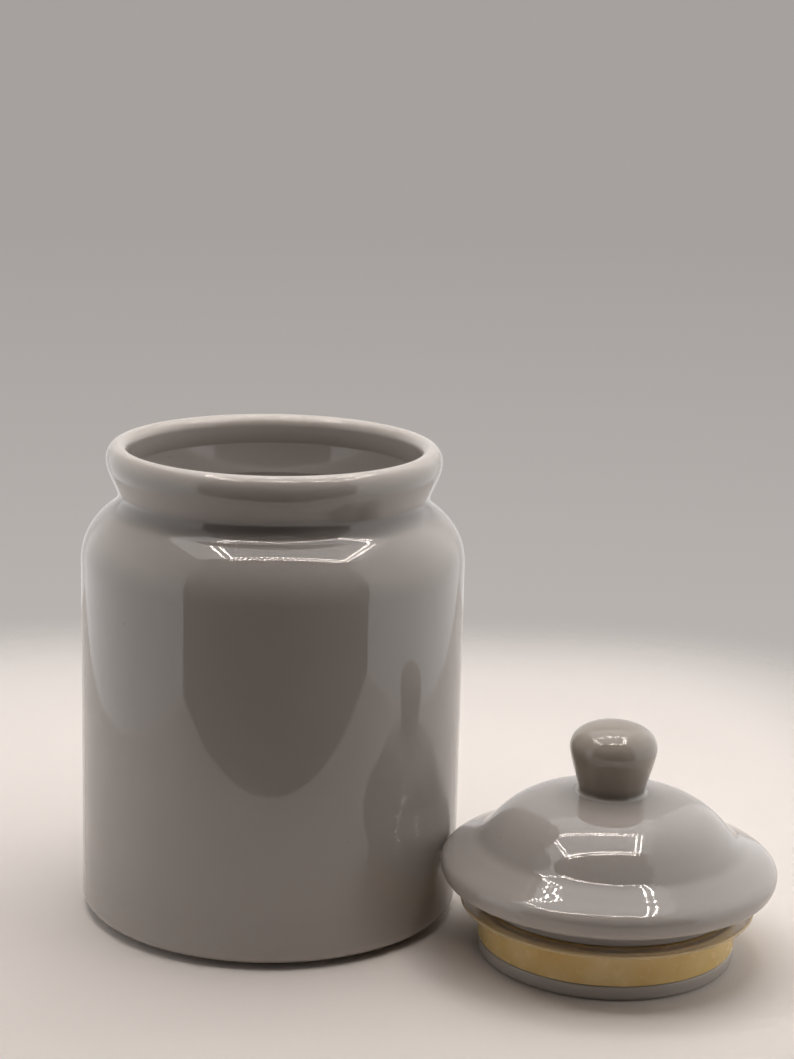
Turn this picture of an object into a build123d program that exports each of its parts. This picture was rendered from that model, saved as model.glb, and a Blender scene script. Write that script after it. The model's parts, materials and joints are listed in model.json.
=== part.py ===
"""Lidded ceramic jar: a glazed body, a lid with its knob, and a lip seal on the lid's plug.

Millimetres, +Z up. The origin is on the jar's axis, on the surface that the jar stands on.
The lid is off: it stands beside the jar, towards +X, on the same surface.
Every piece is turned about its own axis from a half section.
"""
import os
from math import cos, radians, sin

from build123d import *

# Jar body, outside
jar_radius = 57.0  # straight wall
jar_height = 142.5  # surface to the top of the rim
base_edge = 3.5  # rounding where the wall meets the base
shoulder_height = 17.2  # end of the straight wall up to the crease under the neck
shoulder_slope = 27.6  # degrees below level, at the crease
shoulder_reach = 7.8  # how far each end of the shoulder's curve keeps its direction
neck_depth = 17.6  # top of the rim down to the crease
crease_fillet = 5.8
neck_reach = 4.6  # how far each end of the neck's curve stays upright

# Foot ring that the jar stands on, left bare of glaze
foot_height = 1.5
foot_inset = 5.5  # wall in to the outside of the ring
foot_width = 5.0
foot_edge = 0.5

# Jar body, inside
wall = 4.8
floor_thickness = 5.0
floor_fillet = 9.0
mouth_inset = 13.8  # outside of the wall in to the bore of the mouth
mouth_length = 5.4  # straight bore that the seal's lip bears on
throat_step = 1.8  # the bore narrows by this below the straight part
neck_wall = 4.2
throat_edge = 2.0

# Rolled rim
rim_width = 6.4  # bore to the outermost point
rim_crown = 3.0  # bore to the highest point
rim_outer_drop = 4.3  # top down to the outermost point
rim_inner_drop = 3.2  # top down to the straight bore

# Lid's plug and the groove that the seal sits in
plug_gap = 5.7  # bore of the mouth in to the plug
plug_depth = 22.8  # underside of the brim down to the plug's bottom
plug_wall = 5.0
plug_bead = 4.5  # bottom of the plug up to the groove
plug_edge = 1.8
groove_height = 12.0
groove_depth = 2.2
plug_fillet = 1.5  # plug into the underside of the brim

# Lid's brim and dome
brim_setback = 0.6  # the brim ends this far inside the rim's outermost point
lip_width = 2.2  # rounding under the edge of the brim
lip_side = 3.8  # underside up to the outermost point
lip_reach = 3.0  # how far the edge stays upright above that
brim_set = 7.0  # edge of the brim in to where its top is flattest
brim_rise = 9.8  # underside up to there
brim_slope = 28.3  # degrees below level, there
roll_reach = 4.5  # how far the brim keeps that slope outwards
brim_reach = 4.7  # and inwards
brim_width = 14.3  # edge of the brim in to the foot of the dome
flare_reach = 5.4
skirt_height = 15.4  # underside of the brim up to where dome and brim run together
skirt_slope = 48.0  # degrees below level, there
hip_reach = 11.0
crown_reach = 10.5
crown_slope = 12.0  # degrees below level, at the knob
dome_height = 26.3  # underside of the brim up to the flat that carries the knob
dome_wall = 5.4
hollow_rise = 3.2  # underside of the brim up to the spring of the hollow

# Knob
knob_radius = 12.65
knob_height = 20.8
knob_widest = 13.4  # flat of the lid up to the widest point
stem_radius = 9.65
stem_slope = 9.5  # degrees off upright
stem_reach = 2.8
stem_fillet = 1.0  # slip squeezed out round the stem
knob_side_reach = 2.9
knob_shoulder_reach = 4.3
knob_top_reach = 8.2
knob_land_margin = 0.3  # flat of the lid that shows round the knob's foot

# Seal ring
seal_clearance = 0.3  # lip to the bore of the mouth
seal_seat = 0.1  # seal to the walls of its groove
lip_root = 1.6
lip_tip = 1.0
lip_edge = 0.4

# Where the lid stands
lid_gap = 0.4  # jar's wall to the edge of the brim

# Radii and heights that follow from the sizes above
mouth_radius = jar_radius - mouth_inset
rim_radius = mouth_radius + rim_width
rim_crown_radius = mouth_radius + rim_crown
throat_radius = mouth_radius - throat_step
neck_radius = throat_radius + neck_wall
inner_radius = jar_radius - wall
foot_outer = jar_radius - foot_inset
foot_inner = foot_outer - foot_width

floor_z = foot_height + floor_thickness
rim_side_z = jar_height - rim_outer_drop
bore_top_z = jar_height - rim_inner_drop
bore_low_z = bore_top_z - mouth_length
neck_z = jar_height - neck_depth
throat_low_z = neck_z - wall
shoulder_z = neck_z - shoulder_height

plug_radius = mouth_radius - plug_gap
hollow_radius = plug_radius - plug_wall
groove_radius = plug_radius - groove_depth
groove_top = plug_bead + groove_height
brim_radius = rim_radius - brim_setback
lip_centre = brim_radius - lip_width
lip_side_z = plug_depth + lip_side
brim_crown_radius = brim_radius - brim_set
brim_crown_z = plug_depth + brim_rise
skirt_radius = brim_radius - brim_width
skirt_z = plug_depth + skirt_height
land_z = plug_depth + dome_height
hollow_z = plug_depth + hollow_rise
knob_foot = stem_radius + stem_fillet
land_radius = knob_foot + knob_land_margin
lip_radius = mouth_radius - seal_clearance
lid_distance = jar_radius + lid_gap + brim_radius

same_place = 1e-4  # two edges closer than this are one
lid_plane = Plane(origin=(lid_distance, 0, 0), x_dir=(1, 0, 0), z_dir=(0, -1, 0))
lid_axis = Axis((lid_distance, 0, 0), (0, 0, 1))


def step(start, length, slope):
    """The point that lies a length from start, towards +X, at a slope in degrees above level."""
    return (start[0] + length * cos(radians(slope)), start[1] + length * sin(radians(slope)))


def rings_at(builder, radius, height, centre=0.0):
    """The circular edges of a turned piece that have this radius and height."""
    return [
        edge
        for edge in builder.edges().filter_by(GeomType.CIRCLE)
        if abs(edge.radius - radius) < same_place
        and abs(edge.arc_center.Z - height) < same_place
        and abs(edge.arc_center.X - centre) < same_place
    ]


# Jar body: foot, straight wall, round shoulder, flared neck, rolled rim, and the hollow inside
crease = (neck_radius, neck_z)
with BuildPart() as jar_body:
    with BuildSketch(Plane.XZ):
        with BuildLine():
            Polyline(
                (0, foot_height),
                (foot_inner, foot_height),
                (foot_inner, 0),
                (foot_outer, 0),
                (foot_outer, foot_height),
                (jar_radius - base_edge, foot_height),
            )
            CenterArc((jar_radius - base_edge, foot_height + base_edge), base_edge, 270, 90)
            Line((jar_radius, foot_height + base_edge), (jar_radius, shoulder_z))
            Bezier(
                (jar_radius, shoulder_z),
                (jar_radius, shoulder_z + shoulder_reach),
                step(crease, shoulder_reach, -shoulder_slope),
                crease,
            )
            Bezier(
                crease,
                (neck_radius, neck_z + neck_reach),
                (rim_radius, rim_side_z - neck_reach),
                (rim_radius, rim_side_z),
            )
            EllipticalCenterArc(
                (rim_crown_radius, rim_side_z), rim_width - rim_crown, rim_outer_drop, 0, arc_size=90
            )
            EllipticalCenterArc((rim_crown_radius, bore_top_z), rim_crown, rim_inner_drop, 90, arc_size=90)
            Polyline(
                (mouth_radius, bore_top_z),
                (mouth_radius, bore_low_z),
                (throat_radius, neck_z),
                (throat_radius, throat_low_z),
            )
            EllipticalCenterArc(
                (throat_radius, shoulder_z), inner_radius - throat_radius, throat_low_z - shoulder_z, 90,
                arc_size=-90,
            )
            Polyline((inner_radius, shoulder_z), (inner_radius, floor_z), (0, floor_z), (0, foot_height))
        make_face()
    revolve(axis=Axis.Z)
    fillet(rings_at(jar_body, neck_radius, neck_z), crease_fillet)
    fillet(rings_at(jar_body, throat_radius, throat_low_z), throat_edge)
    fillet(rings_at(jar_body, inner_radius, floor_z), floor_fillet)
    fillet(rings_at(jar_body, foot_outer, 0) + rings_at(jar_body, foot_inner, 0), foot_edge)

# Lid: plug with its groove, brim with a rounded edge, dome, and the hollow inside
brim = (brim_crown_radius, brim_crown_z)
skirt = (skirt_radius, skirt_z)
land = (land_radius, land_z)
with BuildPart() as lid:
    with BuildSketch(lid_plane):
        with BuildLine():
            Polyline(
                (hollow_radius, hollow_z),
                (hollow_radius, 0),
                (plug_radius, 0),
                (plug_radius, plug_bead),
                (groove_radius, plug_bead),
                (groove_radius, groove_top),
                (plug_radius, groove_top),
                (plug_radius, plug_depth),
                (lip_centre, plug_depth),
            )
            EllipticalCenterArc((lip_centre, lip_side_z), lip_width, lip_side, 270, arc_size=90)
            Bezier(
                (brim_radius, lip_side_z),
                (brim_radius, lip_side_z + lip_reach),
                step(brim, roll_reach, -brim_slope),
                brim,
            )
            Bezier(
                brim,
                step(brim, -brim_reach, -brim_slope),
                step(skirt, flare_reach, -skirt_slope),
                skirt,
            )
            Bezier(
                skirt,
                step(skirt, -hip_reach, -skirt_slope),
                step(land, crown_reach, -crown_slope),
                land,
            )
            Polyline(land, (0, land_z), (0, land_z - dome_wall))
            EllipticalCenterArc(
                (0, hollow_z), hollow_radius, land_z - dome_wall - hollow_z, 90, arc_size=-90
            )
        make_face()
    revolve(axis=lid_axis)
    fillet(
        rings_at(lid, plug_radius, 0, lid_distance) + rings_at(lid, hollow_radius, 0, lid_distance), plug_edge
    )
    fillet(rings_at(lid, plug_radius, plug_depth, lid_distance), plug_fillet)

# Knob: made apart and stuck to the flat on the dome, with a small fillet of slip round its stem
knob_top = land_z + knob_height
knob_side = (knob_radius, land_z + knob_widest)
stem_low = (stem_radius, land_z + stem_fillet)
with BuildPart() as lid_knob:
    with BuildSketch(lid_plane):
        with BuildLine():
            Polyline((0, knob_top), (0, land_z), (knob_foot, land_z))
            CenterArc((knob_foot, land_z + stem_fillet), stem_fillet, 270, -90)
            Bezier(
                stem_low,
                step(stem_low, stem_reach, 90 - stem_slope),
                (knob_side[0], knob_side[1] - knob_side_reach),
                knob_side,
            )
            Bezier(
                knob_side,
                (knob_side[0], knob_side[1] + knob_shoulder_reach),
                (knob_top_reach, knob_top),
                (0, knob_top),
            )
        make_face()
    revolve(axis=lid_axis)

# Seal ring: a band that fills the groove, flush with the plug, and a thin lip round its top
seal_inner = groove_radius + seal_seat
seal_low = plug_bead + seal_seat
seal_top = groove_top - seal_seat
lip_drop = (lip_root - lip_tip) / 2
with BuildPart() as seal_ring:
    with BuildSketch(lid_plane):
        with BuildLine():
            Polyline(
                (seal_inner, seal_low),
                (plug_radius, seal_low),
                (plug_radius, seal_top - lip_root),
                (lip_radius, seal_top - lip_root + lip_drop),
                (lip_radius, seal_top - lip_drop),
                (plug_radius, seal_top),
                (seal_inner, seal_top),
                close=True,
            )
        make_face()
    revolve(axis=lid_axis)
    fillet(
        rings_at(seal_ring, lip_radius, seal_top - lip_root + lip_drop, lid_distance)
        + rings_at(seal_ring, lip_radius, seal_top - lip_drop, lid_distance),
        lip_edge,
    )

os.makedirs("parts", exist_ok=True)
for name, piece in (
    ("jar_body", jar_body),
    ("lid", lid),
    ("lid_knob", lid_knob),
    ("seal_ring", seal_ring),
):
    piece.part.label = name
    export_step(piece.part, f"parts/{name}.step")
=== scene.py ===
"""Looks of a lidded ceramic jar: glazed body, lid with its knob, and the soft lip seal round the lid's plug.

Each piece is turned from a half section, which is traced point by point and spun once round its own axis.
The sizes come from the packed frame where it holds them, and are otherwise the maker's own, in millimetres.
"""
import json
from itertools import pairwise
from math import ceil, cos, exp, pi, radians, sin, tan, tau

import bpy
from mathutils import Matrix, Vector


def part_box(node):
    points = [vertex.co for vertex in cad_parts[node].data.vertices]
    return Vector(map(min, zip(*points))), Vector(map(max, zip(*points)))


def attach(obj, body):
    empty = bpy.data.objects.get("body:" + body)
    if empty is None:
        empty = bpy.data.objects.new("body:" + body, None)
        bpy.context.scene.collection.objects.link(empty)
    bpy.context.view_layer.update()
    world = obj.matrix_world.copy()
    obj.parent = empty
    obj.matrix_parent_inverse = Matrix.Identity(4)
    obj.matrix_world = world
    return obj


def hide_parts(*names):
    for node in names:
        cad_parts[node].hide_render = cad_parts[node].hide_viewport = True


bl_info = {
    "name": "Lidded ceramic jar",
    "version": (1, 0, 0),
    "blender": (4, 5, 0),
    "location": "View3D > Sidebar > Jar",
    "description": "Turns a glazed jar, its lid, knob and lip seal, and sets them on a pale studio floor",
    "category": "Add Mesh",
}

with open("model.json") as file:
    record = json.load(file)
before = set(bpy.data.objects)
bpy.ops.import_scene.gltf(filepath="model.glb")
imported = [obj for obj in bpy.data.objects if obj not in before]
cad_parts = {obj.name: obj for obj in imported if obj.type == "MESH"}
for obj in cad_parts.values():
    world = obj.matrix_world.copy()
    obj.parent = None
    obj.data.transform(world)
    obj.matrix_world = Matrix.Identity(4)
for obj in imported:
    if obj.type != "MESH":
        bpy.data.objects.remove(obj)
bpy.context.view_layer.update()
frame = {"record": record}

MM = 0.001
PHOTO_HEIGHT = 1059  # pixels
SENSOR = 36.0  # millimetres, along the picture's long side

# How finely a section is drawn
CURVE_STEPS = 26
CORNER_STEPS = 7
ROUND_TO = 0.05 * MM  # the frame's meshes have facets, so a radius read from them is rounded to this
HOLD = 0.4 * MM  # extra points beside the ends of a straight run, so that shading stays even along it
LONGEST_STEP = 9 * MM
WELD = 0.004 * MM


def frame_radius(name):
    """Largest radius of a turned CAD node."""
    low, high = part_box(name)
    return round((high.y - low.y) / 2 / ROUND_TO) * ROUND_TO


def frame_top(name):
    """Height of a CAD node's highest point."""
    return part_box(name)[1].z


MOUTH = next(mount["dims"] for mount in frame["record"]["mounts"] if mount["name"] == "mouth")
LID_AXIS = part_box("lid")[1].x - frame_radius("lid")


def length(name, description, metres):
    """A size that a user can change."""
    return bpy.props.FloatProperty(
        name=name, description=description, default=metres, min=0.0, precision=5, unit="LENGTH"
    )


def angle(name, description, degrees):
    """An angle that a user can change."""
    return bpy.props.FloatProperty(
        name=name, description=description, default=radians(degrees), subtype="ANGLE", unit="ROTATION"
    )


def linear(hex_code):
    """Linear colour of an sRGB hex code such as #A09080."""
    values = [int(hex_code[i : i + 2], 16) / 255 for i in (1, 3, 5)]
    return tuple(v / 12.92 if v <= 0.04045 else ((v + 0.055) / 1.055) ** 2.4 for v in values)


def colour(name, description, hex_code):
    """A colour that a user can change."""
    return bpy.props.FloatVectorProperty(
        name=name, description=description, default=linear(hex_code), size=3, min=0, max=1, subtype="COLOR"
    )


def share(name, description, value):
    """A number from 0 to 1 that a user can change."""
    return bpy.props.FloatProperty(
        name=name, description=description, default=value, min=0, max=1, subtype="FACTOR"
    )


def count(name, description, value):
    """A whole number that a user can change."""
    return bpy.props.IntProperty(name=name, description=description, default=value, min=8)


def strength(name, description, value):
    """A brightness that a user can change, where 1 shows as white."""
    return bpy.props.FloatProperty(name=name, description=description, default=value, min=0)


def corners(name, description, values):
    """The brightness of a lamp wall at its near low, far low, near high and far high corner."""
    return bpy.props.FloatVectorProperty(name=name, description=description, default=values, size=4, min=0)


class JarSizes(bpy.types.PropertyGroup):
    """Sizes of the jar's body."""

    steps: count("Steps", "Faces round the jar", 288)
    radius: length("Radius", "Straight wall", frame_radius("jar_body"))
    height: length("Height", "Surface to the top of the rim", frame_top("jar_body"))
    base_edge: length("Base edge", "Rounding where the wall meets the base", 3.5 * MM)
    foot_height: length("Foot height", "Foot ring below the base", 1.5 * MM)
    foot_inset: length("Foot inset", "Wall in to the outside of the foot ring", 5.5 * MM)
    foot_width: length("Foot width", "Width of the foot ring", 5 * MM)
    foot_edge: length("Foot edge", "Rounding of the foot ring", 0.5 * MM)
    glaze_line: length("Glaze line", "The glaze was wiped off the foot up to here", 0.9 * MM)
    wall: length("Wall", "Thickness of the wall", 4.8 * MM)
    floor: length("Floor", "Thickness of the floor", 5 * MM)
    floor_fillet: length("Floor fillet", "Rounding where the wall meets the floor, inside", 9 * MM)
    shoulder_height: length("Shoulder height", "End of the straight wall up to the crease", 17.2 * MM)
    shoulder_slope: angle("Shoulder slope", "Fall of the shoulder at the crease", 27.6)
    shoulder_reach: length("Shoulder reach", "How far each end of the shoulder keeps its way", 7.8 * MM)
    neck_depth: length("Neck depth", "Top of the rim down to the crease", 17.6 * MM)
    neck_wall: length("Neck wall", "Thickness of the neck at the crease", 4.2 * MM)
    neck_reach: length("Neck reach", "How far each end of the neck stays upright", 4.6 * MM)
    crease: length("Crease", "Rounding between shoulder and neck", 5.8 * MM)
    mouth_radius: length("Mouth radius", "Bore that the seal's lip bears on", MOUTH["r_mm"] * MM)
    mouth_length: length("Mouth length", "Length of that bore", MOUTH["length_mm"] * MM)
    throat_step: length("Throat step", "The bore narrows by this below its straight part", 1.8 * MM)
    throat_edge: length("Throat edge", "Rounding of the throat's lower edge", 2 * MM)
    throat_bend: length("Throat bend", "Rounding at both ends of the narrowing", 1.5 * MM)
    rim_width: length("Rim width", "Bore to the outermost point of the rim", 6.4 * MM)
    rim_crown: length("Rim crown", "Bore to the highest point of the rim", 3 * MM)
    rim_outer_drop: length("Rim outer drop", "Top down to the outermost point", 4.3 * MM)
    rim_inner_drop: length("Rim inner drop", "Top down to the straight bore", 3.2 * MM)


class LidSizes(bpy.types.PropertyGroup):
    """Sizes of the lid and of its knob."""

    steps: count("Steps", "Faces round the lid", 288)
    axis: length("Axis", "Jar's axis to the axis of the lid", LID_AXIS)
    brim_radius: length("Brim radius", "Edge of the brim", frame_radius("lid"))
    land: length("Land", "Height of the flat that carries the knob", frame_top("lid"))
    plug_radius: length("Plug radius", "Plug that drops into the mouth", 37.5 * MM)
    plug_depth: length("Plug depth", "Underside of the brim down to the plug's bottom", 22.8 * MM)
    plug_wall: length("Plug wall", "Thickness of the plug", 5 * MM)
    plug_bead: length("Plug bead", "Bottom of the plug up to the groove", 4.5 * MM)
    plug_edge: length("Plug edge", "Rounding of the plug's bottom", 1.8 * MM)
    plug_fillet: length("Plug fillet", "Rounding under the brim", 1.5 * MM)
    glaze_line: length("Glaze line", "The glaze was wiped off the plug up to here", 0.35 * MM)
    groove_height: length("Groove height", "Groove that holds the seal", 12 * MM)
    groove_depth: length("Groove depth", "Depth of the groove", 2.2 * MM)
    groove_edge: length("Groove edge", "Rounding of the groove's edges by the glaze", 0.5 * MM)
    lip_width: length("Lip width", "Rounding under the edge of the brim", 2.2 * MM)
    lip_side: length("Lip side", "Underside up to the outermost point", 3.8 * MM)
    lip_reach: length("Lip reach", "How far the edge stays upright above that", 3 * MM)
    brim_set: length("Brim set", "Edge of the brim in to where its top is flattest", 7 * MM)
    brim_rise: length("Brim rise", "Underside of the brim up to there", 9.8 * MM)
    brim_slope: angle("Brim slope", "Fall of the brim there", 28.3)
    roll_reach: length("Roll reach", "How far the brim keeps that slope outwards", 4.5 * MM)
    brim_reach: length("Brim reach", "How far it keeps that slope inwards", 4.7 * MM)
    brim_width: length("Brim width", "Edge of the brim in to the foot of the dome", 14.3 * MM)
    skirt_height: length("Skirt height", "Underside of the brim up to the foot of the dome", 15.4 * MM)
    skirt_slope: angle("Skirt slope", "Fall of the dome at its foot", 48)
    flare_reach: length("Flare reach", "How far the dome's foot keeps its slope outwards", 5.4 * MM)
    hip_reach: length("Hip reach", "How far the dome's foot keeps its slope inwards", 11 * MM)
    crown_slope: angle("Crown slope", "Fall of the dome beside the knob", 12)
    crown_reach: length("Crown reach", "How far the dome's crown keeps its slope", 10.5 * MM)
    dome_wall: length("Dome wall", "Thickness of the dome under the knob", 5.4 * MM)
    hollow_rise: length("Hollow rise", "Underside of the brim up to the spring of the hollow", 3.2 * MM)
    knob_radius: length("Knob radius", "Widest point of the knob", frame_radius("lid_knob"))
    knob_top: length("Knob top", "Height of the knob's top", frame_top("lid_knob"))
    knob_widest: length("Knob widest", "Flat of the lid up to the widest point", 13.4 * MM)
    knob_margin: length("Knob margin", "Flat of the lid that shows round the knob's foot", 0.3 * MM)
    stem_radius: length("Stem radius", "Thinnest point of the knob", 9.65 * MM)
    stem_slope: angle("Stem slope", "Lean of the stem off upright", 9.5)
    stem_reach: length("Stem reach", "How far the stem keeps its lean", 2.8 * MM)
    stem_fillet: length("Stem fillet", "Slip squeezed out round the stem", 1 * MM)
    knob_side_reach: length("Knob side reach", "How far the knob's side stays upright below", 2.9 * MM)
    knob_shoulder_reach: length("Knob shoulder reach", "How far it stays upright above", 4.3 * MM)
    knob_top_reach: length("Knob top reach", "How far the knob's top stays level", 8.2 * MM)


class SealSizes(bpy.types.PropertyGroup):
    """Sizes of the lip seal in the groove of the plug."""

    steps: count("Steps", "Faces round the seal", 256)
    lip_radius: length("Lip radius", "Edge of the lip", frame_radius("seal_ring"))
    low: length("Low", "Height of the seal's lower edge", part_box("seal_ring")[0].z)
    high: length("High", "Height of the seal's upper edge", frame_top("seal_ring"))
    seat: length("Seat", "Seal to the wall of its groove", 0.1 * MM)
    lip_root: length("Lip root", "Thickness of the lip at the band", 1.6 * MM)
    lip_tip: length("Lip tip", "Thickness of the lip at its edge", 1 * MM)
    edge: length("Edge", "Rounding of the seal's edges", 0.4 * MM)


class Finish(bpy.types.PropertyGroup):
    """Colours and finish of the glaze, the bare clay and the seal."""

    glaze: colour("Glaze", "Glaze at its usual depth", "#9B948F")
    glaze_drift: colour("Glaze drift", "Glaze where it fired a little paler", "#A39C97")
    glaze_thin: colour("Thin glaze", "Glaze drawn thin over an edge", "#B8B1AA")
    # Painted shade: this dark colour stands for the shade that falls in creases, hollows and inside the jar,
    # over a little real pooling of the glaze.
    pooled_glaze_and_shade: colour("Pooled glaze", "Glaze gathered in a hollow", "#68625E")
    glaze_knob: colour("Knob glaze", "Glaze of the knob, which was dipped by itself", "#8A8074")
    glaze_knob_drift: colour("Knob glaze drift", "The same, where it fired a little paler", "#92887C")
    speck: colour("Speck", "Pinholes and iron specks in the glaze", "#6E675F")
    clay: colour("Clay", "Bare fired clay of the foot", "#D8CFC2")
    clay_soiled: colour("Soiled clay", "Bare clay where it has rubbed on shelves", "#A89C8C")
    seal: colour("Seal", "Soft silicone, yellowed", "#E6CD94")
    seal_aged: colour("Aged seal", "The seal where it has yellowed most", "#DCB96F")
    seal_lip: colour("Seal lip", "The thin lip, which is nearly clear", "#DDD3C2")
    gloss: share("Gloss", "Roughness of the glaze", 0.04)
    # Painted shade: how much darker the glaze is drawn inside the jar, where less light reaches.
    inside_shade: share("Poured", "How much deeper the glaze lies inside the jar", 0.17)


class Studio(bpy.types.PropertyGroup):
    """Camera, floor and lamps. Places are as seen from the camera, from the jar's axis."""

    heading: angle("Heading", "Turn of the studio about the jar's axis", 21.8)
    camera_distance: length("Camera distance", "Jar's axis to the camera, along the floor", 692.2 * MM)
    camera_height: length("Camera height", "Camera above the floor", 281.8 * MM)
    camera_pan: angle("Camera pan", "Camera turned to the right", 3.03)
    camera_pitch: angle("Camera pitch", "Camera turned down", 13.39)
    camera_roll: angle("Camera roll", "Camera tilted to the left", 1.43)
    camera_focus: bpy.props.FloatProperty(
        name="Camera focus", description="Focal length in the photograph's pixels", default=2388.3, min=1
    )
    left: length("Left", "Jar's axis to the left lamp wall", 235 * MM)
    right: length("Right", "Jar's axis to the right lamp wall", 275 * MM)
    back: length("Back", "Jar's axis to the back lamp wall", 330 * MM)
    front: length("Front", "Jar's axis to the front edge of the floor", 205 * MM)
    ceiling: length("Ceiling", "Height of the lamp ceiling", 440 * MM)
    floor: colour("Floor", "Matt pale floor", "#E8E1DC")
    backdrop_low: colour("Backdrop low", "Backdrop where it leaves the floor", "#DAD5D1")
    backdrop: colour("Backdrop", "Backdrop behind the jar", "#B8B3AF")
    backdrop_high: colour("Backdrop high", "Backdrop at the top of the picture", "#A6A19E")
    room: colour("Room", "Dim room in front of the studio", "#17130F")
    left_glow: corners("Left glow", "Brightness of the left lamp wall", (0.84, 0.84, 0.24, 0.33))
    right_glow: corners("Right glow", "Brightness of the right lamp wall", (0.95, 0.84, 0.7, 1.08))
    back_glow: corners("Back glow", "Brightness of the back lamp wall", (0.44, 0.44, 0.64, 0.64))
    ceiling_glow: corners("Ceiling glow", "Brightness of the lamp ceiling", (1.5, 1.5, 1.5, 1.5))
    strip_glow: strength("Strip glow", "Brightness of the small lamps overhead", 82)
    strip_tint: colour("Strip tint", "Colour of the small lamps' light", "#FFF4EC")
    strip_width: length("Strip width", "Spacing of the two rows that they stand in", 20 * MM)
    strip_pitch: length("Strip pitch", "Spacing of the small lamps in a row", 13 * MM)
    strip_dot: length("Strip dot", "Width of a small lamp", 4.5 * MM)
    strip_left: length("Strip left", "Jar's axis to the left strip", 117 * MM)
    strip_right: length("Strip right", "Jar's axis to the right strip", 209 * MM)
    strip_front: length("Strip front", "Jar's axis to the front strip", 136 * MM)
    strip_back: length("Strip back", "Jar's axis to the back strip", 68 * MM)
    strip_height: length("Strip height", "Height of the strips", 420 * MM)


def bezier(start, leave, arrive, end, steps):
    """Points of a bezier curve after its start."""
    points = []
    for step in range(1, steps + 1):
        t = step / steps
        s = 1 - t
        points.append(s**3 * start + 3 * s * s * t * leave + 3 * s * t * t * arrive + t**3 * end)
    return points


def cut_back(line, distance):
    """Cut a distance off a line's start: the new start, its way on, and the points after it."""
    for index, (here, there) in enumerate(pairwise(line), start=1):
        step = there - here
        if step.length > distance:
            way = step.normalized()
            return here + way * distance, way, line[index:]
        distance -= step.length
    raise ValueError("a corner is too round for the run beside it")


def rounded(points, corner, radius):
    """The same points, with one corner rounded."""
    arriving = points[corner] - points[corner - 1]
    leaving = points[corner + 1] - points[corner]
    swing = arriving.angle(leaving)
    start, way_back, before = cut_back(points[corner::-1], radius * tan(swing / 2))
    end, way_on, after = cut_back(points[corner:], radius * tan(swing / 2))
    handle = 4 / 3 * tan(swing / 4) * radius
    bend = bezier(start, start - way_back * handle, end - way_on * handle, end, CORNER_STEPS)
    return before[::-1] + [start] + bend + after


def supported(points):
    """The same points, with more of them along each straight run and close beside its ends."""
    out = points[:1]
    for here, there in pairwise(points):
        span = (there - here).length
        if span > 4 * HOLD:
            pieces = ceil(span / LONGEST_STEP)
            inner = [i / pieces for i in range(1, pieces)]
            out += [here.lerp(there, t) for t in [HOLD / span, *inner, 1 - HOLD / span]]
        out.append(there)
    return out


class Section:
    """A half section, drawn run by run as points of radius and height; a corner can be rounded."""

    def __init__(self, radius, height):
        self.points = [Vector((radius, height))]
        self.corners = []

    def line(self, radius, height, corner=0.0):
        """A straight run. corner is the rounding at its end."""
        self.points.append(Vector((radius, height)))
        self.mark(corner)

    def curve(self, leave, arrive, end, corner=0.0):
        """A smooth run that leaves and arrives by two handles."""
        self.points += bezier(self.points[-1], Vector(leave), Vector(arrive), Vector(end), CURVE_STEPS)
        self.mark(corner)

    def arc(self, centre, width, height, first, last):
        """Part of an upright ellipse, between two angles in degrees."""
        for step in range(1, CURVE_STEPS + 1):
            t = radians(first + (last - first) * step / CURVE_STEPS)
            self.points.append(Vector((centre[0] + width * cos(t), centre[1] + height * sin(t))))

    def mark(self, corner):
        """Remember that the last point is a corner to round."""
        if corner:
            self.corners.append((len(self.points) - 1, corner))

    def drawn(self):
        """The finished points."""
        points = self.points
        for index, radius in reversed(self.corners):
            points = rounded(points, index, radius)
        return supported(points)


def aside(point, distance, slope):
    """The point at a distance from another, outwards, at a slope above level."""
    return (point[0] + distance * cos(slope), point[1] + distance * sin(slope))


def glaze_depth_and_shade(points, inside_shade):
    """Depth of the glaze along a section, with painted shade: 0.5 on a flat, less over a rounded edge and
    more in a hollow, which is drawn darker as painted shade.

    Past the highest point it is raised by the share given, as painted shade inside the jar, where less light
    reaches.
    """
    spread = 1.6 * MM  # the glaze evens itself out over about this length
    inside_shade_reach = 12 * MM  # the painted shade inside reaches its full strength this far in
    sharp = 420.0  # curvature, per metre, that leaves a flat's depth at none or at twice as much
    top = max(range(len(points)), key=lambda index: points[index].y)
    bends = []
    place = 0.0
    for before, here, after in zip(points, points[1:], points[2:]):
        place += (here - before).length
        bends.append((place, (here - before).angle_signed(after - here, 0.0)))
    depths = []
    place = inside = 0.0
    for index, here in enumerate(points):
        if index:
            place += (here - points[index - 1]).length
        if index > top:
            inside += (here - points[index - 1]).length
        near = [(at - place, swing) for at, swing in bends if abs(at - place) < 3 * spread]
        weighed = sum(swing * exp(-((away / spread) ** 2)) for away, swing in near)
        curvature = weighed / (spread * pi**0.5)
        # Hollows and the inside of the jar get more, which the glaze draws darker as painted shade.
        depth = 0.5 + 0.5 * curvature / sharp + inside_shade * min(1.0, inside / inside_shade_reach)
        depths.append(max(0.0, min(1.0, depth)))
    return depths


def deselect():
    """Leave nothing selected, so that the next operator acts on the new piece alone."""
    bpy.ops.object.select_all(action="DESELECT")


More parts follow.
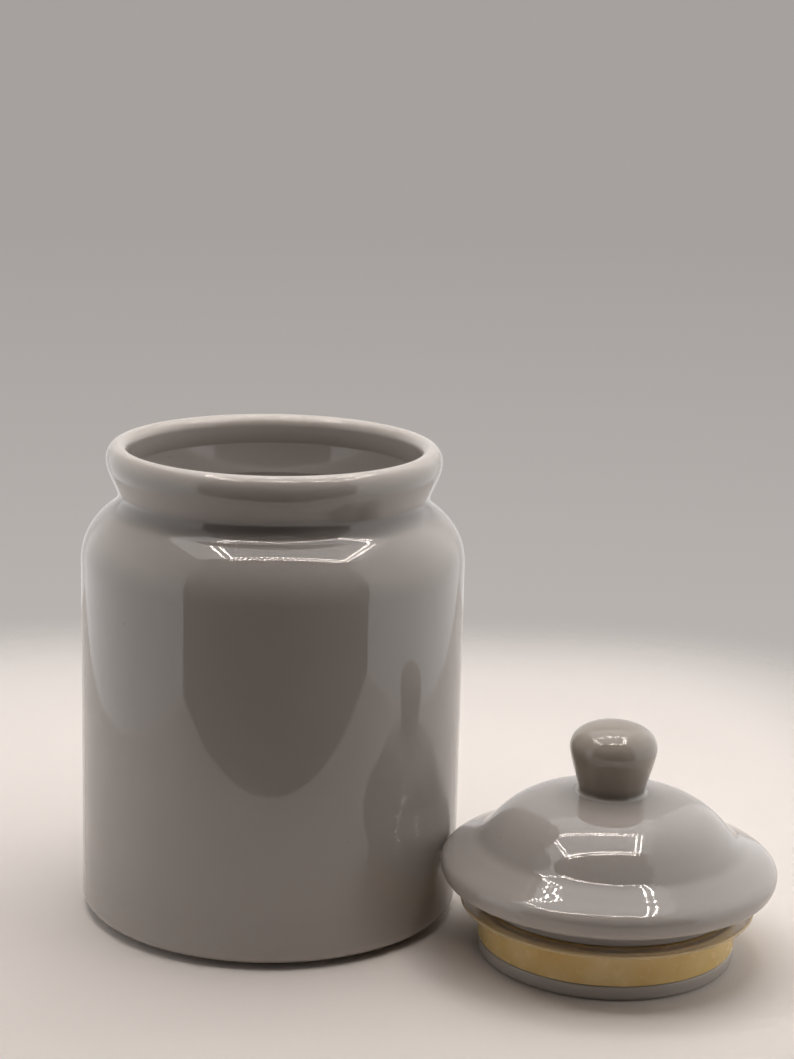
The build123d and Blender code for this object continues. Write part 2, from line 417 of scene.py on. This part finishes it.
def turn(name, points, axis, steps, inside_shade=0.0):
    """Trace a half section from a single point, then spin it once round an upright axis."""
    deselect()
    bpy.ops.mesh.primitive_plane_add(size=2 * WELD)
    piece = bpy.context.object
    piece.name = piece.data.name = name
    bpy.ops.object.mode_set(mode="EDIT")
    bpy.ops.mesh.merge(type="CENTER")
    bpy.ops.transform.translate(value=(axis + points[0].x, 0, points[0].y))
    for here, there in pairwise(points):
        move = (there.x - here.x, 0, there.y - here.y)
        bpy.ops.mesh.extrude_region_move(TRANSFORM_OT_translate={"value": move})
    bpy.ops.object.mode_set(mode="OBJECT")
    depth = piece.data.attributes.new("glaze_depth_and_shade", "FLOAT", "POINT")
    depth.data.foreach_set("value", glaze_depth_and_shade(points, inside_shade))
    bpy.ops.object.mode_set(mode="EDIT")
    bpy.ops.mesh.select_all(action="SELECT")
    bpy.ops.mesh.spin(steps=steps, angle=tau, center=(axis, 0, 0), axis=(0, 0, 1))
    bpy.ops.mesh.select_all(action="SELECT")
    bpy.ops.mesh.remove_doubles(threshold=WELD)
    bpy.ops.mesh.normals_make_consistent(inside=False)
    bpy.ops.object.mode_set(mode="OBJECT")
    bpy.ops.object.shade_smooth()
    return piece


def bare_below(piece, height, material):
    """Give the faces below a height another material, where the glaze was wiped off."""
    piece.data.materials.append(material)
    piece.active_material_index = len(piece.data.materials) - 1
    bpy.ops.object.mode_set(mode="EDIT")
    bpy.ops.mesh.select_all(action="DESELECT")
    bpy.ops.object.mode_set(mode="OBJECT")
    for polygon in piece.data.polygons:
        polygon.select = polygon.center.z < height
    bpy.ops.object.mode_set(mode="EDIT")
    bpy.ops.object.material_slot_assign()
    bpy.ops.mesh.select_all(action="DESELECT")
    bpy.ops.object.mode_set(mode="OBJECT")


def node(tree, kind, sockets=None, **settings):
    """Add a node. Settings are its own options; a socket takes a value, or the output that feeds it.

    A map range's sockets 1 to 4 are where it maps from and to. A mix has its share in socket 0, and its two
    ends in 2 and 3, or in 6 and 7 where they are colours.
    """
    made = tree.nodes.new(kind)
    for key, value in settings.items():
        setattr(made, key, value)
    for key, value in (sockets or {}).items():
        if isinstance(value, bpy.types.NodeSocket):
            tree.links.new(value, made.inputs[key])
        else:
            made.inputs[key].default_value = value
    return made


def per_metre(millimetres):
    """Scale of a pattern whose features are this far apart."""
    return 1 / (millimetres * MM)


def new_material(name):
    """An empty node material and its tree."""
    material = bpy.data.materials.new(name)
    material.use_nodes = True
    material.node_tree.nodes.clear()
    return material, material.node_tree


def rgba(value):
    """A colour property as a colour socket takes it."""
    return (*value, 1.0)


def glazed_stoneware(name, finish, glaze, glaze_drift):
    """Pale grey glaze over fired clay: a glassy skin that mirrors the room in slow, slightly wavy shapes.

    It runs thin and paler over edges, is drawn much darker in hollows and inside the jar as painted shade
    over a little real pooling, and holds a few pinholes.
    """
    material, tree = new_material(name)
    place = node(tree, "ShaderNodeTexCoord").outputs["Object"]
    drift = node(tree, "ShaderNodeTexNoise", {"Vector": place, "Scale": per_metre(34), "Detail": 3})
    base = node(
        tree, "ShaderNodeMix",
        {0: drift.outputs["Fac"], 6: rgba(glaze), 7: rgba(glaze_drift)}, data_type="RGBA",
    )
    depth = node(tree, "ShaderNodeAttribute", attribute_name="glaze_depth_and_shade").outputs["Fac"]
    thin = node(tree, "ShaderNodeMapRange", {"Value": depth, 1: 0.5, 2: 0.0, 3: 0.0, 4: 0.8})
    edged = node(
        tree, "ShaderNodeMix",
        {0: thin.outputs["Result"], 6: base.outputs[2], 7: rgba(finish.glaze_thin)}, data_type="RGBA",
    )
    # Painted shade: above a flat's depth the colour is drawn towards the dark pooled colour, for the shade in
    # hollows and inside the jar.
    pool_and_shade = node(tree, "ShaderNodeMapRange", {"Value": depth, 1: 0.5, 2: 1.0, 3: 0.0, 4: 0.9})
    pooled_and_shaded = node(
        tree, "ShaderNodeMix",
        {0: pool_and_shade.outputs["Result"], 6: edged.outputs[2], 7: rgba(finish.pooled_glaze_and_shade)}, data_type="RGBA",
    )
    # Pinholes: a small dot, soft at its edge, in about one cell out of eight
    cell, dot_core, dot_edge = 8, 0.144, 0.272  # millimetres
    empty_cells = 0.88
    cells = node(tree, "ShaderNodeTexVoronoi", {"Vector": place, "Scale": per_metre(cell)})
    drawn = node(tree, "ShaderNodeSeparateColor", {0: cells.outputs["Color"]})
    chosen = node(tree, "ShaderNodeMath", {0: drawn.outputs[0], 1: empty_cells}, operation="GREATER_THAN")
    dot = node(
        tree, "ShaderNodeMapRange",
        {"Value": cells.outputs["Distance"], 1: dot_core / cell, 2: dot_edge / cell, 3: 1.0, 4: 0.0},
    )
    speck = node(
        tree, "ShaderNodeMath", {0: chosen.outputs[0], 1: dot.outputs["Result"]}, operation="MULTIPLY"
    )
    skin = node(
        tree, "ShaderNodeMix",
        {0: speck.outputs[0], 6: pooled_and_shaded.outputs[2], 7: rgba(finish.speck)}, data_type="RGBA",
    )
    haze = node(tree, "ShaderNodeTexNoise", {"Vector": place, "Scale": per_metre(11), "Detail": 4})
    gloss = node(
        tree, "ShaderNodeMapRange",
        {"Value": haze.outputs["Fac"], 1: 0.3, 2: 0.7, 3: finish.gloss * 0.8, 4: finish.gloss * 1.3},
    )
    # Slow waves of the glaze, its fine orange peel, and the pits of the pinholes
    wave = node(tree, "ShaderNodeTexNoise", {"Vector": place, "Scale": per_metre(40), "Detail": 1})
    waves = node(
        tree, "ShaderNodeBump", {"Height": wave.outputs["Fac"], "Strength": 1, "Distance": 0.14 * MM}
    )
    peel = node(tree, "ShaderNodeTexNoise", {"Vector": place, "Scale": per_metre(2.2), "Detail": 2})
    peels = node(
        tree, "ShaderNodeBump",
        {"Height": peel.outputs["Fac"], "Strength": 1, "Distance": 0.003 * MM, "Normal": waves.outputs[0]},
    )
    pits = node(
        tree, "ShaderNodeBump",
        {"Height": speck.outputs[0], "Strength": 1, "Distance": 0.05 * MM, "Normal": peels.outputs[0]},
        invert=True,
    )
    shader = node(
        tree, "ShaderNodeBsdfPrincipled",
        {
            "Base Color": skin.outputs[2], "Roughness": gloss.outputs["Result"], "IOR": 1.6,
            "Normal": pits.outputs[0],
        },
    )
    node(tree, "ShaderNodeOutputMaterial", {"Surface": shader.outputs[0]})
    return material


def biscuit_clay(finish):
    """Bare fired clay where the glaze was wiped off: dry, pale, gritty, and grey where it has rubbed."""
    material, tree = new_material("biscuit_clay")
    place = node(tree, "ShaderNodeTexCoord").outputs["Object"]
    rub = node(tree, "ShaderNodeTexNoise", {"Vector": place, "Scale": per_metre(9), "Detail": 5})
    rubbed = node(tree, "ShaderNodeMapRange", {"Value": rub.outputs["Fac"], 1: 0.42, 2: 0.72, 3: 0.0, 4: 0.7})
    base = node(
        tree, "ShaderNodeMix",
        {0: rubbed.outputs["Result"], 6: rgba(finish.clay), 7: rgba(finish.clay_soiled)}, data_type="RGBA",
    )
    grit = node(tree, "ShaderNodeTexNoise", {"Vector": place, "Scale": per_metre(0.5), "Detail": 3})
    bump = node(tree, "ShaderNodeBump", {"Height": grit.outputs["Fac"], "Strength": 1, "Distance": 0.04 * MM})
    shader = node(
        tree, "ShaderNodeBsdfPrincipled",
        {"Base Color": base.outputs[2], "Roughness": 0.88, "IOR": 1.5, "Normal": bump.outputs[0]},
    )
    node(tree, "ShaderNodeOutputMaterial", {"Surface": shader.outputs[0]})
    return material


def yellowed_silicone(finish, axis, band, edge):
    """Soft moulded silicone, yellowed with age: milky where the band is thick, and clear along its lip."""
    clearing = 1.5 * MM  # the band turns into the clear lip over this length
    hem_from, hem_to = edge - 0.9 * MM, edge - 0.4 * MM  # the lip's edge gathers some colour again
    material, tree = new_material("yellowed_silicone")
    place = node(tree, "ShaderNodeTexCoord").outputs["Object"]
    age = node(tree, "ShaderNodeTexNoise", {"Vector": place, "Scale": per_metre(16), "Detail": 4})
    aged = node(tree, "ShaderNodeMapRange", {"Value": age.outputs["Fac"], 1: 0.35, 2: 0.7, 3: 0.0, 4: 1.0})
    base = node(
        tree, "ShaderNodeMix",
        {0: aged.outputs["Result"], 6: rgba(finish.seal), 7: rgba(finish.seal_aged)}, data_type="RGBA",
    )
    dust = node(tree, "ShaderNodeTexNoise", {"Vector": place, "Scale": per_metre(3), "Detail": 5})
    gloss = node(
        tree, "ShaderNodeMapRange", {"Value": dust.outputs["Fac"], 1: 0.3, 2: 0.75, 3: 0.16, 4: 0.32}
    )
    ripple = node(tree, "ShaderNodeTexNoise", {"Vector": place, "Scale": per_metre(5), "Detail": 2})
    bump = node(
        tree, "ShaderNodeBump", {"Height": ripple.outputs["Fac"], "Strength": 1, "Distance": 0.03 * MM}
    )
    centred = node(tree, "ShaderNodeVectorMath", {0: place, 1: (axis, 0, 0)}, operation="SUBTRACT")
    flat = node(tree, "ShaderNodeVectorMath", {0: centred.outputs[0], 1: (1, 1, 0)}, operation="MULTIPLY")
    radius = node(tree, "ShaderNodeVectorMath", {0: flat.outputs[0]}, operation="LENGTH").outputs["Value"]
    lip = node(tree, "ShaderNodeMapRange", {"Value": radius, 1: band, 2: band + clearing}).outputs["Result"]
    cleared = node(
        tree, "ShaderNodeMix", {0: lip, 6: base.outputs[2], 7: rgba(finish.seal_lip)}, data_type="RGBA"
    )
    hem = node(
        tree, "ShaderNodeMapRange", {"Value": radius, 1: hem_from, 2: hem_to, 4: 0.55}
    ).outputs["Result"]
    tone = node(
        tree, "ShaderNodeMix", {0: hem, 6: cleared.outputs[2], 7: rgba(finish.seal_aged)}, data_type="RGBA"
    )
    thin = node(tree, "ShaderNodeMath", {0: lip, 1: hem}, operation="SUBTRACT")
    cover = node(tree, "ShaderNodeMapRange", {"Value": thin.outputs[0], 3: 1.0, 4: 0.45})
    shader = node(
        tree, "ShaderNodeBsdfPrincipled",
        {
            "Base Color": tone.outputs[2], "Roughness": gloss.outputs["Result"], "IOR": 1.42,
            "Alpha": cover.outputs["Result"], "Subsurface Weight": 0.3,
            "Subsurface Radius": (1.0, 0.8, 0.45), "Subsurface Scale": 2 * MM, "Normal": bump.outputs[0],
        },
    )
    node(tree, "ShaderNodeOutputMaterial", {"Surface": shader.outputs[0]})
    return material


def matt_floor(studio, width, depth):
    """Matt pale floor that takes shadows, and melts into the backdrop towards its edges."""
    melt_from, melt_to = 0.36, 0.98  # where it does so, as the square of the way out to an edge
    darker = [0.97 * value for value in studio.floor]
    material, tree = new_material("matt_floor")
    place = node(tree, "ShaderNodeTexCoord").outputs["Object"]
    mottle = node(tree, "ShaderNodeTexNoise", {"Vector": place, "Scale": per_metre(60), "Detail": 2})
    base = node(
        tree, "ShaderNodeMix",
        {0: mottle.outputs["Fac"], 6: rgba(studio.floor), 7: rgba(darker)}, data_type="RGBA",
    )
    paper = node(tree, "ShaderNodeBsdfDiffuse", {"Color": base.outputs[2]})
    clear = node(tree, "ShaderNodeBsdfTransparent")
    span = node(tree, "ShaderNodeVectorMath", {0: place, 1: (2 / width, 2 / depth, 0)}, operation="MULTIPLY")
    squared = node(
        tree, "ShaderNodeVectorMath", {0: span.outputs[0], 1: span.outputs[0]}, operation="MULTIPLY"
    )
    reach = node(tree, "ShaderNodeVectorMath", {0: squared.outputs[0]}, operation="LENGTH")
    edge = node(
        tree, "ShaderNodeMapRange",
        {"Value": reach.outputs["Value"], 1: melt_from, 2: melt_to}, interpolation_type="SMOOTHSTEP",
    )
    seen = node(tree, "ShaderNodeLightPath").outputs["Is Camera Ray"]
    fade = node(tree, "ShaderNodeMath", {0: edge.outputs["Result"], 1: seen}, operation="MULTIPLY")
    surface = node(
        tree, "ShaderNodeMixShader", {0: fade.outputs[0], 1: paper.outputs[0], 2: clear.outputs[0]}
    )
    node(tree, "ShaderNodeOutputMaterial", {"Surface": surface.outputs[0]})
    return material


def jar_section(size):
    """Half section of the jar, from the middle of its base, up the outside and back down the inside."""
    throat = size.mouth_radius - size.throat_step
    neck = throat + size.neck_wall
    rim = size.mouth_radius + size.rim_width
    crown = size.mouth_radius + size.rim_crown
    inside = size.radius - size.wall
    foot_out = size.radius - size.foot_inset
    foot_in = foot_out - size.foot_width
    bottom = size.foot_height
    floor = bottom + size.floor
    rim_side = size.height - size.rim_outer_drop
    bore_top = size.height - size.rim_inner_drop
    crease = (neck, size.height - size.neck_depth)
    throat_low = crease[1] - size.wall
    shoulder = crease[1] - size.shoulder_height
    section = Section(0, bottom)
    section.line(foot_in, bottom, size.foot_edge)
    section.line(foot_in, 0, size.foot_edge)
    section.line(foot_out, 0, size.foot_edge)
    section.line(foot_out, bottom, size.foot_edge)
    section.line(size.radius, bottom, size.base_edge)
    section.line(size.radius, shoulder)
    section.curve(
        (size.radius, shoulder + size.shoulder_reach),
        aside(crease, size.shoulder_reach, -size.shoulder_slope),
        crease,
        size.crease,
    )
    section.curve(
        (neck, crease[1] + size.neck_reach),
        (rim, rim_side - size.neck_reach),
        (rim, rim_side),
    )
    section.arc((crown, rim_side), size.rim_width - size.rim_crown, size.rim_outer_drop, 0, 90)
    section.arc((crown, bore_top), size.rim_crown, size.rim_inner_drop, 90, 180)
    section.line(size.mouth_radius, bore_top - size.mouth_length, size.throat_bend)
    section.line(throat, crease[1], size.throat_bend)
    section.line(throat, throat_low, size.throat_edge)
    section.arc((throat, shoulder), inside - throat, throat_low - shoulder, 90, 0)
    section.line(inside, floor, size.floor_fillet)
    section.line(0, floor)
    return section.drawn()


def lid_section(size):
    """Half section of the lid, from the top of its hollow, down inside the plug and up over brim and dome."""
    hollow = size.plug_radius - size.plug_wall
    groove = size.plug_radius - size.groove_depth
    groove_top = size.plug_bead + size.groove_height
    spring = size.plug_depth + size.hollow_rise
    lip = size.brim_radius - size.lip_width
    lip_side = size.plug_depth + size.lip_side
    brim = (size.brim_radius - size.brim_set, size.plug_depth + size.brim_rise)
    skirt = (size.brim_radius - size.brim_width, size.plug_depth + size.skirt_height)
    land = (size.stem_radius + size.stem_fillet + size.knob_margin, size.land)
    section = Section(0, size.land - size.dome_wall)
    section.arc((0, spring), hollow, size.land - size.dome_wall - spring, 90, 0)
    section.line(hollow, 0, size.plug_edge)
    section.line(size.plug_radius, 0, size.plug_edge)
    section.line(size.plug_radius, size.plug_bead, size.groove_edge)
    section.line(groove, size.plug_bead, size.groove_edge)
    section.line(groove, groove_top, size.groove_edge)
    section.line(size.plug_radius, groove_top, size.groove_edge)
    section.line(size.plug_radius, size.plug_depth, size.plug_fillet)
    section.line(lip, size.plug_depth)
    section.arc((lip, lip_side), size.lip_width, size.lip_side, -90, 0)
    section.curve(
        (size.brim_radius, lip_side + size.lip_reach),
        aside(brim, size.roll_reach, -size.brim_slope),
        brim,
    )
    section.curve(
        aside(brim, -size.brim_reach, -size.brim_slope),
        aside(skirt, size.flare_reach, -size.skirt_slope),
        skirt,
    )
    section.curve(
        aside(skirt, -size.hip_reach, -size.skirt_slope),
        aside(land, size.crown_reach, -size.crown_slope),
        land,
    )
    section.line(0, size.land)
    return section.drawn()


def knob_section(size):
    """Half section of the knob, from the middle of its foot to the middle of its top."""
    foot = size.stem_radius + size.stem_fillet
    low = (size.stem_radius, size.land + size.stem_fillet)
    side = size.land + size.knob_widest
    section = Section(0, size.land)
    section.line(foot, size.land)
    section.arc((foot, low[1]), size.stem_fillet, size.stem_fillet, 270, 180)
    section.curve(
        aside(low, size.stem_reach, pi / 2 - size.stem_slope),
        (size.knob_radius, side - size.knob_side_reach),
        (size.knob_radius, side),
    )
    section.curve(
        (size.knob_radius, side + size.knob_shoulder_reach),
        (size.knob_top_reach, size.knob_top),
        (0, size.knob_top),
    )
    return section.drawn()


def seal_section(size, lid):
    """Half section of the seal: a band in the groove, flush with the plug, and a thin lip round its top."""
    inner = lid.plug_radius - lid.groove_depth + size.seat
    drop = (size.lip_root - size.lip_tip) / 2
    root = size.high - size.lip_root
    middle = (size.low + size.high) / 2
    section = Section(inner, middle)
    section.line(inner, size.low, size.edge)
    section.line(lid.plug_radius, size.low, size.edge)
    section.line(lid.plug_radius, root, size.edge)
    section.line(size.lip_radius, root + drop, size.edge)
    section.line(size.lip_radius, size.high - drop, size.edge)
    section.line(inner, size.high, size.edge)
    section.line(inner, middle)
    return section.drawn()


class JAR_OT_body(bpy.types.Operator):
    """Turn the jar's glazed body, with its foot ring left bare"""

    bl_idname = "jar.body"
    bl_label = "Jar body"
    bl_options = {"REGISTER", "UNDO"}

    def execute(self, context):
        size, finish = context.scene.jar_sizes, context.scene.jar_finish
        piece = turn("jar_body_glazed", jar_section(size), 0, size.steps, finish.inside_shade)
        piece.data.materials.append(
            glazed_stoneware("glazed_stoneware", finish, finish.glaze, finish.glaze_drift)
        )
        bare_below(piece, size.glaze_line, biscuit_clay(finish))
        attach(piece, "jar")
        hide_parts("jar_body")
        return {"FINISHED"}


class JAR_OT_lid(bpy.types.Operator):
    """Turn the glazed lid, with its plug, brim and dome"""

    bl_idname = "jar.lid"
    bl_label = "Lid"
    bl_options = {"REGISTER", "UNDO"}

    def execute(self, context):
        size = context.scene.lid_sizes
        piece = turn("lid_glazed", lid_section(size), size.axis, size.steps)
        piece.data.materials.append(bpy.data.materials["glazed_stoneware"])
        bare_below(piece, size.glaze_line, bpy.data.materials["biscuit_clay"])
        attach(piece, "lid_assembly")
        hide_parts("lid")
        return {"FINISHED"}


class JAR_OT_knob(bpy.types.Operator):
    """Turn the knob that is stuck to the top of the lid"""

    bl_idname = "jar.knob"
    bl_label = "Knob"
    bl_options = {"REGISTER", "UNDO"}

    def execute(self, context):
        size, finish = context.scene.lid_sizes, context.scene.jar_finish
        piece = turn("lid_knob_glazed", knob_section(size), size.axis, size.steps)
        piece.data.materials.append(
            glazed_stoneware("glazed_stoneware_knob", finish, finish.glaze_knob, finish.glaze_knob_drift)
        )
        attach(piece, "lid_assembly")
        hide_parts("lid_knob")
        return {"FINISHED"}


class JAR_OT_seal(bpy.types.Operator):
    """Turn the soft lip seal in the groove of the plug"""

    bl_idname = "jar.seal"
    bl_label = "Seal"
    bl_options = {"REGISTER", "UNDO"}

    def execute(self, context):
        size, lid = context.scene.seal_sizes, context.scene.lid_sizes
        piece = turn("seal_ring_soft", seal_section(size, lid), lid.axis, size.steps)
        piece.data.materials.append(
            yellowed_silicone(context.scene.jar_finish, lid.axis, lid.plug_radius, size.lip_radius)
        )
        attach(piece, "lid_assembly")
        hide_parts("seal_ring")
        return {"FINISHED"}


def add_lamp(name, place, width, height, glow):
    """A flat lamp of an even brightness, at a place that also says which way it faces."""
    deselect()
    bpy.ops.object.light_add(type="AREA")
    lamp = bpy.context.object
    lamp.name = lamp.data.name = name
    lamp.data.shape = "RECTANGLE"
    lamp.data.size, lamp.data.size_y = width, height
    lamp.data.energy = glow * pi * width * height
    lamp.matrix_world = place
    return lamp


def lamp_tree(lamp):
    """An empty node tree for a lamp."""
    lamp.data.use_nodes = True
    lamp.data.node_tree.nodes.clear()
    return lamp.data.node_tree


def lamp_place(tree):
    """Place on a flat lamp, from 0 to 1 along each of its sides."""
    return node(tree, "ShaderNodeSeparateXYZ", {0: node(tree, "ShaderNodeNewGeometry").outputs["Parametric"]})


def grade(lamp, low, high):
    """Let the brightness of a lamp wall change across it, from a low pair of corners to a high pair."""
    even = 0.25  # share of the wall, at each side, that is as bright as its corners
    tree = lamp_tree(lamp)
    place = lamp_place(tree)
    across, up = (
        node(
            tree, "ShaderNodeMapRange", {"Value": place.outputs[way], 1: even, 2: 1 - even},
            interpolation_type="SMOOTHSTEP",
        ).outputs["Result"]
        for way in (0, 1)
    )
    lower = node(tree, "ShaderNodeMix", {0: across, 2: low[0], 3: low[1]})
    upper = node(tree, "ShaderNodeMix", {0: across, 2: high[0], 3: high[1]})
    level = node(tree, "ShaderNodeMix", {0: up, 2: lower.outputs[0], 3: upper.outputs[0]})
    light = node(tree, "ShaderNodeEmission", {"Strength": level.outputs[0]})
    node(tree, "ShaderNodeOutputLight", {"Surface": light.outputs[0]})


def dotted(lamp, tint, run, pitch, dot, shift):
    """Break a narrow lamp up into a row of small square ones."""
    tree = lamp_tree(lamp)
    place = lamp_place(tree)
    along = node(tree, "ShaderNodeMath", {0: place.outputs[0], 1: run, 2: shift}, operation="MULTIPLY_ADD")
    away = node(tree, "ShaderNodeMath", {0: along.outputs[0], 1: pitch / 2}, operation="PINGPONG")
    lit = node(tree, "ShaderNodeMath", {0: away.outputs[0], 1: dot / 2}, operation="LESS_THAN")
    light = node(tree, "ShaderNodeEmission", {"Color": rgba(tint), "Strength": lit.outputs[0]})
    node(tree, "ShaderNodeOutputLight", {"Surface": light.outputs[0]})


def add_lamps(studio):
    """Soft lamp walls on three sides and overhead, and a frame of small lamps below the ceiling."""
    around = Matrix.Rotation(studio.heading, 4, "Z")
    width, depth, tall = studio.left + studio.right, studio.front + studio.back, studio.ceiling
    middle_x, middle_y = (studio.right - studio.left) / 2, (studio.back - studio.front) / 2
    upright = Matrix.Rotation(pi / 2, 4, "X")

    def at(x, y, z):
        return around @ Matrix.Translation((x, y, z))

    def facing(turned):
        return Matrix.Rotation(turned, 4, "Z") @ upright

    near_low, far_low, near_high, far_high = studio.left_glow
    wall = add_lamp("left_wall", at(-studio.left, middle_y, tall / 2) @ facing(-pi / 2), depth, tall, 1)
    grade(wall, (far_low, near_low), (far_high, near_high))
    near_low, far_low, near_high, far_high = studio.right_glow
    wall = add_lamp("right_wall", at(studio.right, middle_y, tall / 2) @ facing(pi / 2), depth, tall, 1)
    grade(wall, (near_low, far_low), (near_high, far_high))
    left_low, right_low, left_high, right_high = studio.back_glow
    wall = add_lamp("back_wall", at(middle_x, studio.back, tall / 2) @ facing(pi), width, tall, 1)
    grade(wall, (right_low, left_low), (right_high, left_high))
    near_left, near_right, far_left, far_right = studio.ceiling_glow
    over = (studio.back - studio.strip_front) / 2
    wall = add_lamp("ceiling", at(middle_x, over, tall), width, studio.back + studio.strip_front, 1)
    grade(wall, (near_left, near_right), (far_left, far_right))
    strip_wide = studio.strip_left + studio.strip_right
    strip_deep = studio.strip_front + studio.strip_back
    strip_x = (studio.strip_right - studio.strip_left) / 2
    strip_y = (studio.strip_back - studio.strip_front) / 2
    quarter = Matrix.Rotation(pi / 2, 4, "Z")
    for name, place, run in (
        ("front", at(strip_x, -studio.strip_front, studio.strip_height), strip_wide),
        ("back", at(strip_x, studio.strip_back, studio.strip_height), strip_wide),
        ("left", at(-studio.strip_left, strip_y, studio.strip_height) @ quarter, strip_deep),
        ("right", at(studio.strip_right, strip_y, studio.strip_height) @ quarter, strip_deep),
    ):
        for row, side in (("inner", -0.5), ("outer", 0.5)):
            shifted = place @ Matrix.Translation((0, side * studio.strip_width, 0))
            lamp = add_lamp(f"{name}_{row}_strip", shifted, run, studio.strip_dot, studio.strip_glow)
            shift = side * studio.strip_pitch / 2
            dotted(lamp, studio.strip_tint, run, studio.strip_pitch, studio.strip_dot, shift)


def add_floor(studio):
    """Floor under the jar, as wide as the lamp walls stand."""
    width, depth = studio.left + studio.right, studio.front + studio.back
    deselect()
    bpy.ops.mesh.primitive_plane_add(size=1)
    floor = bpy.context.object
    floor.name = floor.data.name = "floor"
    around = Matrix.Rotation(studio.heading, 4, "Z")
    middle = Vector(((studio.right - studio.left) / 2, (studio.back - studio.front) / 2, 0))
    bpy.ops.transform.resize(value=(width, depth, 1))
    bpy.ops.object.transform_apply(scale=True)
    floor.matrix_world = around @ Matrix.Translation(middle)
    floor.data.materials.append(matt_floor(studio, width, depth))


def add_world(studio):
    """Pale backdrop for the camera, and a dim room for everything else."""
    floor_line, jar_line, top_line = -0.40, -0.27, -0.11  # how far the view falls there
    world = bpy.data.worlds.new("studio")
    bpy.context.scene.world = world
    world.use_nodes = True
    tree = world.node_tree
    tree.nodes.clear()
    way = node(tree, "ShaderNodeTexCoord").outputs["Generated"]
    rise = node(tree, "ShaderNodeSeparateXYZ", {0: way}).outputs[2]
    low = node(tree, "ShaderNodeMapRange", {"Value": rise, 1: floor_line, 2: jar_line})
    lower = node(
        tree, "ShaderNodeMix",
        {0: low.outputs["Result"], 6: rgba(studio.backdrop_low), 7: rgba(studio.backdrop)}, data_type="RGBA",
    )
    high = node(tree, "ShaderNodeMapRange", {"Value": rise, 1: jar_line, 2: top_line})
    backdrop = node(
        tree, "ShaderNodeMix",
        {0: high.outputs["Result"], 6: lower.outputs[2], 7: rgba(studio.backdrop_high)}, data_type="RGBA",
    )
    back = (-sin(studio.heading), cos(studio.heading), 0)
    behind = node(tree, "ShaderNodeVectorMath", {0: way, 1: back}, operation="DOT_PRODUCT")
    rays = node(tree, "ShaderNodeLightPath")
    mirrored = node(
        tree, "ShaderNodeMath", {0: rays.outputs["Is Glossy Ray"], 1: rays.outputs["Is Transmission Ray"]},
        operation="MAXIMUM",
    )
    mirrored_back = node(
        tree, "ShaderNodeMath", {0: mirrored.outputs[0], 1: behind.outputs["Value"]}, operation="MULTIPLY"
    )
    seen = node(
        tree, "ShaderNodeMath", {0: rays.outputs["Is Camera Ray"], 1: mirrored_back.outputs[0]},
        operation="MAXIMUM", use_clamp=True,
    )
    shown = node(
        tree, "ShaderNodeMix",
        {0: seen.outputs[0], 6: rgba(studio.room), 7: backdrop.outputs[2]}, data_type="RGBA",
    )
    light = node(tree, "ShaderNodeBackground", {"Color": shown.outputs[2], "Strength": 1})
    node(tree, "ShaderNodeOutputWorld", {"Surface": light.outputs[0]})


def add_camera(studio):
    """Camera where the photograph was taken from."""
    deselect()
    bpy.ops.object.camera_add()
    camera = bpy.context.object
    camera.name = camera.data.name = "camera"
    camera.data.sensor_fit = "AUTO"
    camera.data.sensor_width = SENSOR
    camera.data.lens = studio.camera_focus / PHOTO_HEIGHT * SENSOR
    camera.data.clip_start = 10 * MM
    camera.matrix_world = (
        Matrix.Rotation(studio.heading, 4, "Z")
        @ Matrix.Translation((0, -studio.camera_distance, studio.camera_height))
        @ Matrix.Rotation(-studio.camera_pan, 4, "Z")
        @ Matrix.Rotation(pi / 2 - studio.camera_pitch, 4, "X")
        @ Matrix.Rotation(studio.camera_roll, 4, "Z")
    )
    bpy.context.scene.camera = camera


class JAR_OT_studio(bpy.types.Operator):
    """Set up the floor, backdrop, lamps and camera"""

    bl_idname = "jar.studio"
    bl_label = "Studio"
    bl_options = {"REGISTER", "UNDO"}

    def execute(self, context):
        studio = context.scene.jar_studio
        add_floor(studio)
        add_world(studio)
        add_lamps(studio)
        add_camera(studio)
        context.scene.view_settings.view_transform = "Standard"
        return {"FINISHED"}


class JAR_PT_panel(bpy.types.Panel):
    """Pieces of the jar and the sizes, colours and lamps that can be changed"""

    bl_idname = "JAR_PT_panel"
    bl_label = "Lidded ceramic jar"
    bl_space_type = "VIEW_3D"
    bl_region_type = "UI"
    bl_category = "Jar"

    def draw(self, context):
        for operator in OPERATORS:
            self.layout.operator(operator.bl_idname)
        for group in GROUPS:
            box = self.layout.box()
            box.label(text=GROUPS[group].__doc__)
            for name in GROUPS[group].__annotations__:
                box.prop(getattr(context.scene, group), name)


OPERATORS = (JAR_OT_body, JAR_OT_lid, JAR_OT_knob, JAR_OT_seal, JAR_OT_studio)
GROUPS = {
    "jar_sizes": JarSizes,
    "lid_sizes": LidSizes,
    "seal_sizes": SealSizes,
    "jar_finish": Finish,
    "jar_studio": Studio,
}


def register():
    """Make the sizes, the operators and the panel known to Blender."""
    for cls in (*GROUPS.values(), *OPERATORS, JAR_PT_panel):
        bpy.utils.register_class(cls)
    for name, group in GROUPS.items():
        setattr(bpy.types.Scene, name, bpy.props.PointerProperty(type=group))


def unregister():
    """Take them away again."""
    for name in GROUPS:
        delattr(bpy.types.Scene, name)
    for cls in reversed((*GROUPS.values(), *OPERATORS, JAR_PT_panel)):
        bpy.utils.unregister_class(cls)


def main():
    """Build every piece and the studio."""
    register()
    bpy.ops.jar.body()
    bpy.ops.jar.lid()
    bpy.ops.jar.knob()
    bpy.ops.jar.seal()
    bpy.ops.jar.studio()


if __name__ == "__main__":
    main()
